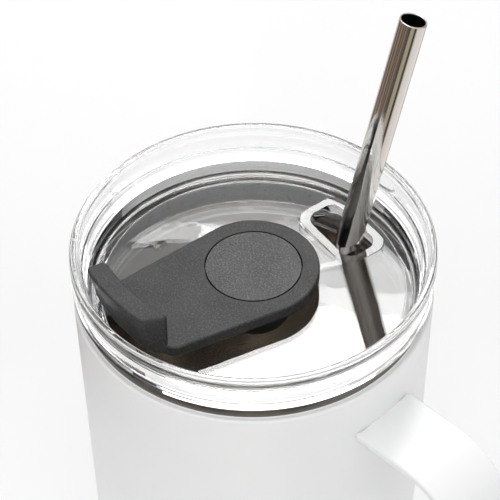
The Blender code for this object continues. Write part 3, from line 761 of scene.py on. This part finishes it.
def arm_outline():
    """Plan of the arm, with its round end at the hub and its tip along +X."""
    side = ARM_TIP_HALF_WIDTH
    tangent = 90.0 - atan(ARM_SLOPE) * 180.0 / pi
    points = [(x, y, 0.0) for x, y in arc((0.0, 0.0), ARM_END_RADIUS, tangent, 360 - tangent, 96)]
    reach = TAB_OUTER - TAB_LEAN - ARM_TIP_COVER
    tip = arc(TAB_CENTRE, reach, TAB_START, TAB_OUTER_END, TAB_STEPS)
    points += [(ARM_TIP_REACH, -side, ARM_CORNER), (*tip[0], ARM_TIP_CORNER)]
    points += [(x, y, 0.0) for x, y in tip[1:-1]]
    points += [(*tip[-1], ARM_TIP_CORNER), (ARM_TIP_REACH - ARM_TIP_SKEW, side, ARM_CORNER)]
    return filleted(points, 5)


def tab_outline(lean):
    """Crescent plan of the thumb tab; lean draws its outer wall in towards the arm."""
    outer = arc(TAB_CENTRE, TAB_OUTER, TAB_START, TAB_OUTER_END, TAB_STEPS)
    inner = arc(TAB_CENTRE, TAB_INNER, TAB_INNER_END, TAB_START + TAB_START_EASE, TAB_STEPS)
    points = [(x - lean, y, 0.0) for x, y in outer] + [(x, y, 0.0) for x, y in inner]
    for corner in (0, len(outer) - 1, len(outer), len(points) - 1):
        points[corner] = (*points[corner][:2], TAB_CORNER)
    return filleted(points, 5)


def make_arm():
    """Arm, thumb tab, the groove round the cap, and the boss that runs through the lid's floor."""
    low = z_at(ARM_TOP + ARM_THICKNESS)
    high = z_at(ARM_TOP)
    outline = arm_outline()
    arm = moulded("closure_arm_moulding", outline, outline, low, high, ARM_LOW_ROUND, ARM_HIGH_ROUND,
                  BLACK, ARM_TURN)
    tab = moulded("tab", tab_outline(TAB_LEAN), tab_outline(0.0), low + TAB_FOOT, z_at(TAB_TOP),
                  TAB_LOW_ROUND, TAB_HIGH_ROUND, BLACK, ARM_TURN)
    combine(arm, tab, "UNION")
    inner, outer = CAP_RADIUS - GROOVE_EASE, CAP_RADIUS + GAP
    above, below = high + BOOLEAN_REACH, high - CAP_THICKNESS
    ring = turned("groove", [(inner, above), (outer, above), (outer, below), (inner, below)], BLACK, 128)
    combine(arm, ring, "DIFFERENCE")
    boss_low = z_at(FLOOR_DEPTH - GAP)
    boss_high = low + BOOLEAN_REACH
    neck_low = z_at(FLOOR_DEPTH + FLOOR_THICKNESS + HUB_NECK_FOOT)
    outline = [(0.0, boss_high, 0.0), (HUB_RADIUS, boss_high, 0.0), (HUB_RADIUS, boss_low, EDGE),
               (HUB_NECK_RADIUS, boss_low, 0.0), (HUB_NECK_RADIUS, neck_low, 0.0), (0.0, neck_low, 0.0)]
    combine(arm, turned("boss", filleted(outline), BLACK, 64), "UNION")
    return arm


def make_hub():
    """Nut below the lid's floor, bored for the screw."""
    high = z_at(FLOOR_DEPTH + FLOOR_THICKNESS + GAP + HUB_TOP_GAP + GAP)
    low = z_at(HUB_BOTTOM)
    bore = SCREW_RADIUS + GAP
    wide, step = bore + HUB_COUNTERBORE, low + HUB_COUNTERBORE_DEPTH
    outline = [(bore, step, 0.0), (bore, high, 0.0), (HUB_RADIUS, high, HUB_TOP_ROUND),
               (HUB_RADIUS, low, HUB_FOOT_ROUND), (wide, low, FINE_EDGE), (wide, step, 0.0)]
    return turned("hub_under_floor", filleted(outline), BLACK, 96)


# ---- Straw ----------------------------------------------------------------------------------------

STRAW_RADIUS = 3.73
STRAW_WALL = 0.45
STRAW_BORE_ROUND = 0.12
STRAW_END_ROUND = 0.16
STRAW_SLOPE = (0.211, 0.12)    # run in x and y for each unit of rise, in the lid's own directions
LID_TURN = radians(45.4)       # from the lid's own directions to the frame
STRAW_ENTRY = (27.4, 15.6)     # where its axis crosses STRAW_ENTRY_DEPTH
STRAW_ENTRY_DEPTH = 12.7
STRAW_ABOVE_RIM = 57.0
STRAW_BOTTOM_Z = 14.0


def make_straw():
    """Straight tube along its own Z axis, leaned over by its rotation."""
    turn = Matrix.Rotation(LID_TURN, 3, "Z")
    direction = turn @ Vector((*STRAW_SLOPE, 1.0))
    entry = turn @ Vector((*STRAW_ENTRY, 0.0))
    entry.z = z_at(STRAW_ENTRY_DEPTH)
    low = (STRAW_BOTTOM_Z - entry.z) * direction.length
    high = (RIM_Z + STRAW_ABOVE_RIM - entry.z) * direction.length
    bore = STRAW_RADIUS - STRAW_WALL
    outline = [(bore, low, STRAW_BORE_ROUND), (bore, high, STRAW_BORE_ROUND),
               (STRAW_RADIUS, high, STRAW_END_ROUND), (STRAW_RADIUS, low, STRAW_END_ROUND)]
    straw = turned("steel_straw", filleted(outline, 4), BRIGHT, 96)
    tilt = Vector((0.0, 0.0, 1.0)).rotation_difference(direction.normalized())
    straw.rotation_mode = "QUATERNION"
    straw.rotation_quaternion = tilt
    straw.location = entry * MM
    return straw


# ---- Pieces ---------------------------------------------------------------------------------------

stands_for(make_shell(), "mug", "white_paint", "outer_shell")
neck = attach(flat_faced(make_neck()), "mug")
stands_for(make_liner(), "mug", "brushed_steel", "inner_liner")
stands_for(make_handle(), "mug", "white_paint", "handle_strap")
stands_for(make_lid(), "lid", "clear_plastic", "lid_body")
stands_for(make_gasket(), "lid", "clear_silicone", "lid_gasket")
stands_for(make_arm(), "closure", "black_plastic", "closure_arm", "pivot_cap")
stands_for(make_hub(), "closure", "black_plastic", "hub_nut")
stands_for(make_straw(), "straw", "polished_steel", "straw")
keeps(STEEL, "base_plate", "base_cover")
keeps(DULL, "vacuum_seal", "getter")
keeps(BRIGHT, "pivot_screw", "pivot_washer")
keeps(RUBBER, "hub_seal", "closure_pad")


# ---- Studio ---------------------------------------------------------------------------------------

FLOOR_HALF = 4000.0
FLOOR_DROP = 0.05
HIDDEN_FROM = {"card": ("camera", "diffuse", "volume_scatter", "shadow"),
               "surround": ("camera", "diffuse", "transmission", "volume_scatter", "shadow")}


def unseen(piece, rays):
    """Hide a studio piece from some kinds of ray."""
    for ray in rays:
        setattr(piece, "visible_" + ray, False)


def make_floor():
    shape = bmesh.new()
    for x, y in ((-1, -1), (1, -1), (1, 1), (-1, 1)):
        shape.verts.new((x * FLOOR_HALF, y * FLOOR_HALF, -FLOOR_DROP))
    shape.faces.new(shape.verts[:])
    made = Shade("studio_floor", {"Roughness": 0.9})
    made.feed("Base Color", made.ramp(made.noise(per_mm(400.0), 2.0), (0.3, 0.785), (0.7, 0.805)))
    floor = mesh_object("studio_floor", shape, made.material)


def outwards(turn, lift):
    """Unit vector at an azimuth and an elevation."""
    return Vector((cos(lift) * cos(turn), cos(lift) * sin(turn), sin(lift)))


def softbox(name, azimuth, elevation, distance, width, height, power):
    """Rectangular light aimed at the lid: azimuth from +X in degrees, lengths in metres."""
    data = bpy.data.lights.new(name, "AREA")
    data.shape = "RECTANGLE"
    data.size = width
    data.size_y = height
    data.energy = power
    light = bpy.data.objects.new(name, data)
    away = outwards(radians(azimuth), radians(elevation))
    light.location = Vector((0.0, 0.0, RIM_Z * MM)) + away * distance
    light.rotation_euler = away.to_track_quat("Z", "Y").to_euler()
    light.visible_camera = False
    bpy.context.scene.collection.objects.link(light)


VIEW_AZIMUTH = -44.6           # of the camera, from +X, in degrees
BACK = VIEW_AZIMUTH + 180.0    # straight behind the mug


def panel(name, right, left, low, high, distance, radiance):
    """Softbox between two azimuths, from straight behind the mug, and two elevations, in degrees."""
    lift = (low + high) / 2
    tall = 2.0 * distance * tan(radians(high - low) / 2)
    wide = 2.0 * distance * cos(radians(lift)) * tan(radians(left - right) / 2)
    softbox(name, BACK + (left + right) / 2, lift, distance, wide, tall, radiance * pi * wide * tall)


SURROUND_Z = 2.0
SURROUND_STEPS = 96
SURROUND_RADII = (120.0, 1500.0)


def surround():
    """Ring on the floor round the mug, light and dark by direction, seen only in reflections."""
    shape = bmesh.new()
    inner, outer = [circle(shape, radius, SURROUND_Z, SURROUND_STEPS) for radius in SURROUND_RADII]
    for step in range(SURROUND_STEPS):
        after = (step + 1) % SURROUND_STEPS
        shape.faces.new((inner[step], inner[after], outer[after], outer[step]))
    material = bpy.data.materials.new("studio_surround")
    material.use_nodes = True
    tree = material.node_tree
    tree.nodes.clear()
    output = tree.nodes.new("ShaderNodeOutputMaterial")
    glow = tree.nodes.new("ShaderNodeEmission")
    place = tree.nodes.new("ShaderNodeTexCoord")
    turn = tree.nodes.new("ShaderNodeMapping")
    turn.inputs["Rotation"].default_value = (0.0, 0.0, radians(-VIEW_AZIMUTH))
    spread = tree.nodes.new("ShaderNodeTexGradient")
    spread.gradient_type = "RADIAL"
    bands = tree.nodes.new("ShaderNodeValToRGB")
    stops = [(0.0, (0.85, 0.80, 0.76)), (0.07, (0.80, 0.74, 0.70)), (0.10, (0.30, 0.24, 0.20)),
             (0.14, (0.12, 0.09, 0.08)), (0.18, (0.40, 0.31, 0.25)), (0.22, (0.10, 0.08, 0.07)),
             (0.26, (0.38, 0.29, 0.23)), (0.30, (0.10, 0.08, 0.07)), (0.325, (0.34, 0.25, 0.19)),
             (0.345, (0.07, 0.05, 0.05)), (0.37, (0.42, 0.29, 0.19)),
             (0.385, (0.17, 0.145, 0.135)), (0.43, (0.13, 0.11, 0.10)), (0.455, (0.06, 0.05, 0.05)),
             (0.47, (0.46, 0.41, 0.28)), (0.54, (0.48, 0.43, 0.30)), (0.555, (0.04, 0.04, 0.05)),
             (0.585, (0.06, 0.06, 0.06)), (0.62, (0.88, 0.83, 0.80)), (0.84, (1.0, 0.97, 0.94)),
             (0.90, (0.25, 0.23, 0.21)), (1.0, (0.08, 0.07, 0.06))]
    set_stops(bands, stops)
    tree.links.new(place.outputs["Object"], turn.inputs["Vector"])
    tree.links.new(turn.outputs["Vector"], spread.inputs["Vector"])
    tree.links.new(spread.outputs["Fac"], bands.inputs["Fac"])
    tree.links.new(bands.outputs["Color"], glow.inputs["Color"])
    tree.links.new(glow.outputs["Emission"], output.inputs["Surface"])
    made = mesh_object("studio_surround", shape, material)
    unseen(made, HIDDEN_FROM["surround"])


CARD_LOW, CARD_HIGH = 20.0, 380.0


def dark_card(name, near_end, far_end, *hidden):
    """Upright black card beside the mug, between two (along, left) points of the view's plan.

    It is seen through the clear lid; hidden names more rays that miss it.
    """
    shape = bmesh.new()
    ends = placed((near_end, far_end), radians(BACK))
    for (x, y), height in zip(ends + ends[::-1], (CARD_LOW, CARD_LOW, CARD_HIGH, CARD_HIGH)):
        shape.verts.new((x, y, height))
    shape.faces.new(shape.verts[:])
    made = Shade(name, {"Roughness": 0.8, "Specular IOR Level": 0.1})
    made.feed("Base Color", made.ramp(made.noise(per_mm(60.0), 2.0), (0.3, 0.01), (0.7, 0.02)))
    card = mesh_object(name, shape, made.material)
    unseen(card, HIDDEN_FROM["card"] + hidden)


make_floor()
surround()
dark_card("card_left", (-150.0, 260.0), (300.0, 300.0), "glossy")
dark_card("card_right", (0.0, -300.0), (300.0, -300.0))
world = bpy.data.worlds.new("studio")
bpy.context.scene.world = world
world.use_nodes = True
background = world.node_tree.nodes["Background"].inputs
background["Color"].default_value = (1.0, 1.0, 1.0, 1.0)
background["Strength"].default_value = 0.63
KEY_RIGHT = -24.0
KEY_DISTANCE = 1.2             # metres
# The key light is graded: its rows dim downwards, down to a brighter foot, which shades the liner's
# floor towards the back. Each row has a left edge, a lower and an upper one, and a radiance.
KEY_ROWS = (("key", 6.0, 46.9, 62.0, 13.0), ("key_low", 5.0, 45.9, 46.9, 8.2),
            ("key_edge", 3.4, 44.0, 45.9, 5.6), ("key_skirt", 3.6, 43.85, 44.0, 4.6),
            ("key_hem", 24.0, 43.0, 43.85, 4.2), ("key_fringe", 24.0, 42.2, 43.0, 2.4),
            ("key_foot", 24.0, 38.5, 42.2, 4.5))
for row, left, below, above, radiance in KEY_ROWS:
    panel(row, KEY_RIGHT, left, below, above, KEY_DISTANCE, radiance)
panel("key_gap", 3.6, 12.0, 43.85, 46.0, KEY_DISTANCE, 1.0)
panel("front_fill", 130.0, 230.0, 15.0, 64.0, 1.6, 0.94)
softbox("overhead", VIEW_AZIMUTH, 88.0, 1.4, 1.0, 1.0, 2.4)


# ---- Camera and render ----------------------------------------------------------------------------

scene = bpy.context.scene
scene.view_settings.view_transform = "Standard"
scene.cycles.max_bounces = 24
scene.cycles.transmission_bounces = 20
scene.cycles.glossy_bounces = 10
scene.cycles.transparent_max_bounces = 16
scene.cycles.blur_glossy = 0.3

CAMERA_DISTANCE = 0.5          # metres
CAMERA_LIFT = radians(45.01)
CAMERA_ROLL = radians(-0.61)
data = bpy.data.cameras.new("camera")
data.sensor_width = 36.0
data.lens = 132.6
data.shift_x = -0.0064
data.shift_y = -0.0134
data.clip_start = 0.01
camera = bpy.data.objects.new("camera", data)
away = outwards(radians(VIEW_AZIMUTH), CAMERA_LIFT)
camera.location = Vector((0.0, 0.0, RIM_Z * MM)) + away * CAMERA_DISTANCE
camera.rotation_mode = "QUATERNION"
roll = Matrix.Rotation(CAMERA_ROLL, 3, "Z").to_quaternion()
camera.rotation_quaternion = away.to_track_quat("Z", "Y") @ roll
scene.collection.objects.link(camera)
scene.camera = camera
